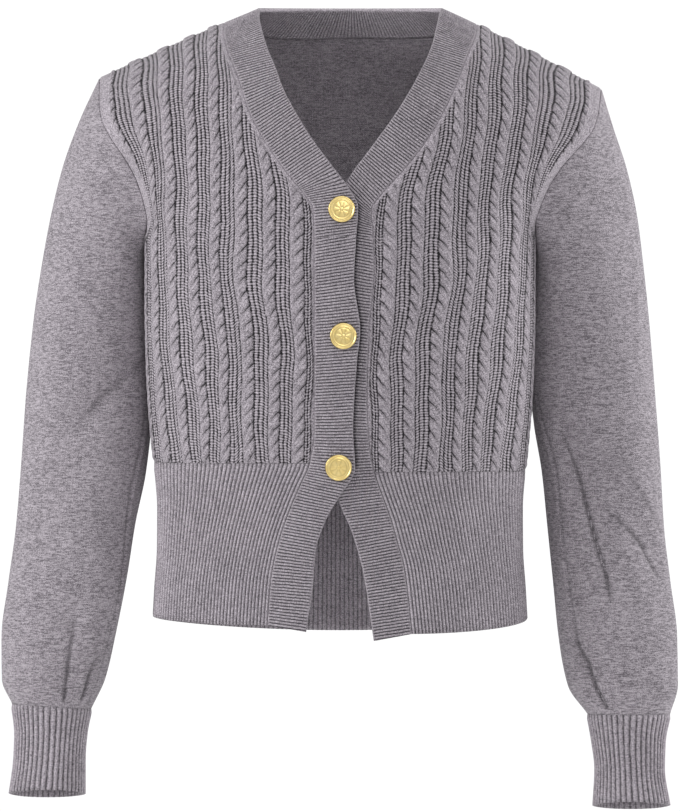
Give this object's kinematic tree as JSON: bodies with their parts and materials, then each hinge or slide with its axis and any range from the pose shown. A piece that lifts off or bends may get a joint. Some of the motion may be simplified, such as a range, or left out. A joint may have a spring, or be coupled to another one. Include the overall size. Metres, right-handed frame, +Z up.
{
  "type": "cardigan",
  "caption": "Cropped V-neck cardigan in grey cable knit with ribbed hem, cuffs and bands and round gold buttons.",
  "frame": {"origin": "midway between the neck ends of the two shoulders, where the wearer's shoulders hold the garment up", "axes": "+Z up the wearer, -Y out of the garment's front, +X to the viewer's right, which is the wearer's left"},
  "size_m": [0.5163, 0.2121, 0.6155],
  "materials": {
    "knit": "matte heather knit",
    "rib": "matte heather rib knit",
    "gold": "polished gold tone"
  },
  "bodies": {
    "root": {"front_right_panel": "knit", "front_left_panel": "knit", "back_panel": "knit", "sleeve_right": "knit", "sleeve_left": "knit", "cuff_right": "rib", "cuff_left": "rib", "hem_front_right": "rib", "hem_front_left": "rib", "hem_back": "rib", "band_front_right": "rib", "band_front_left": "rib", "neckband_back": "rib", "button_1": "gold", "button_2": "gold", "button_3": "gold"}
  },
  "joints": []
}
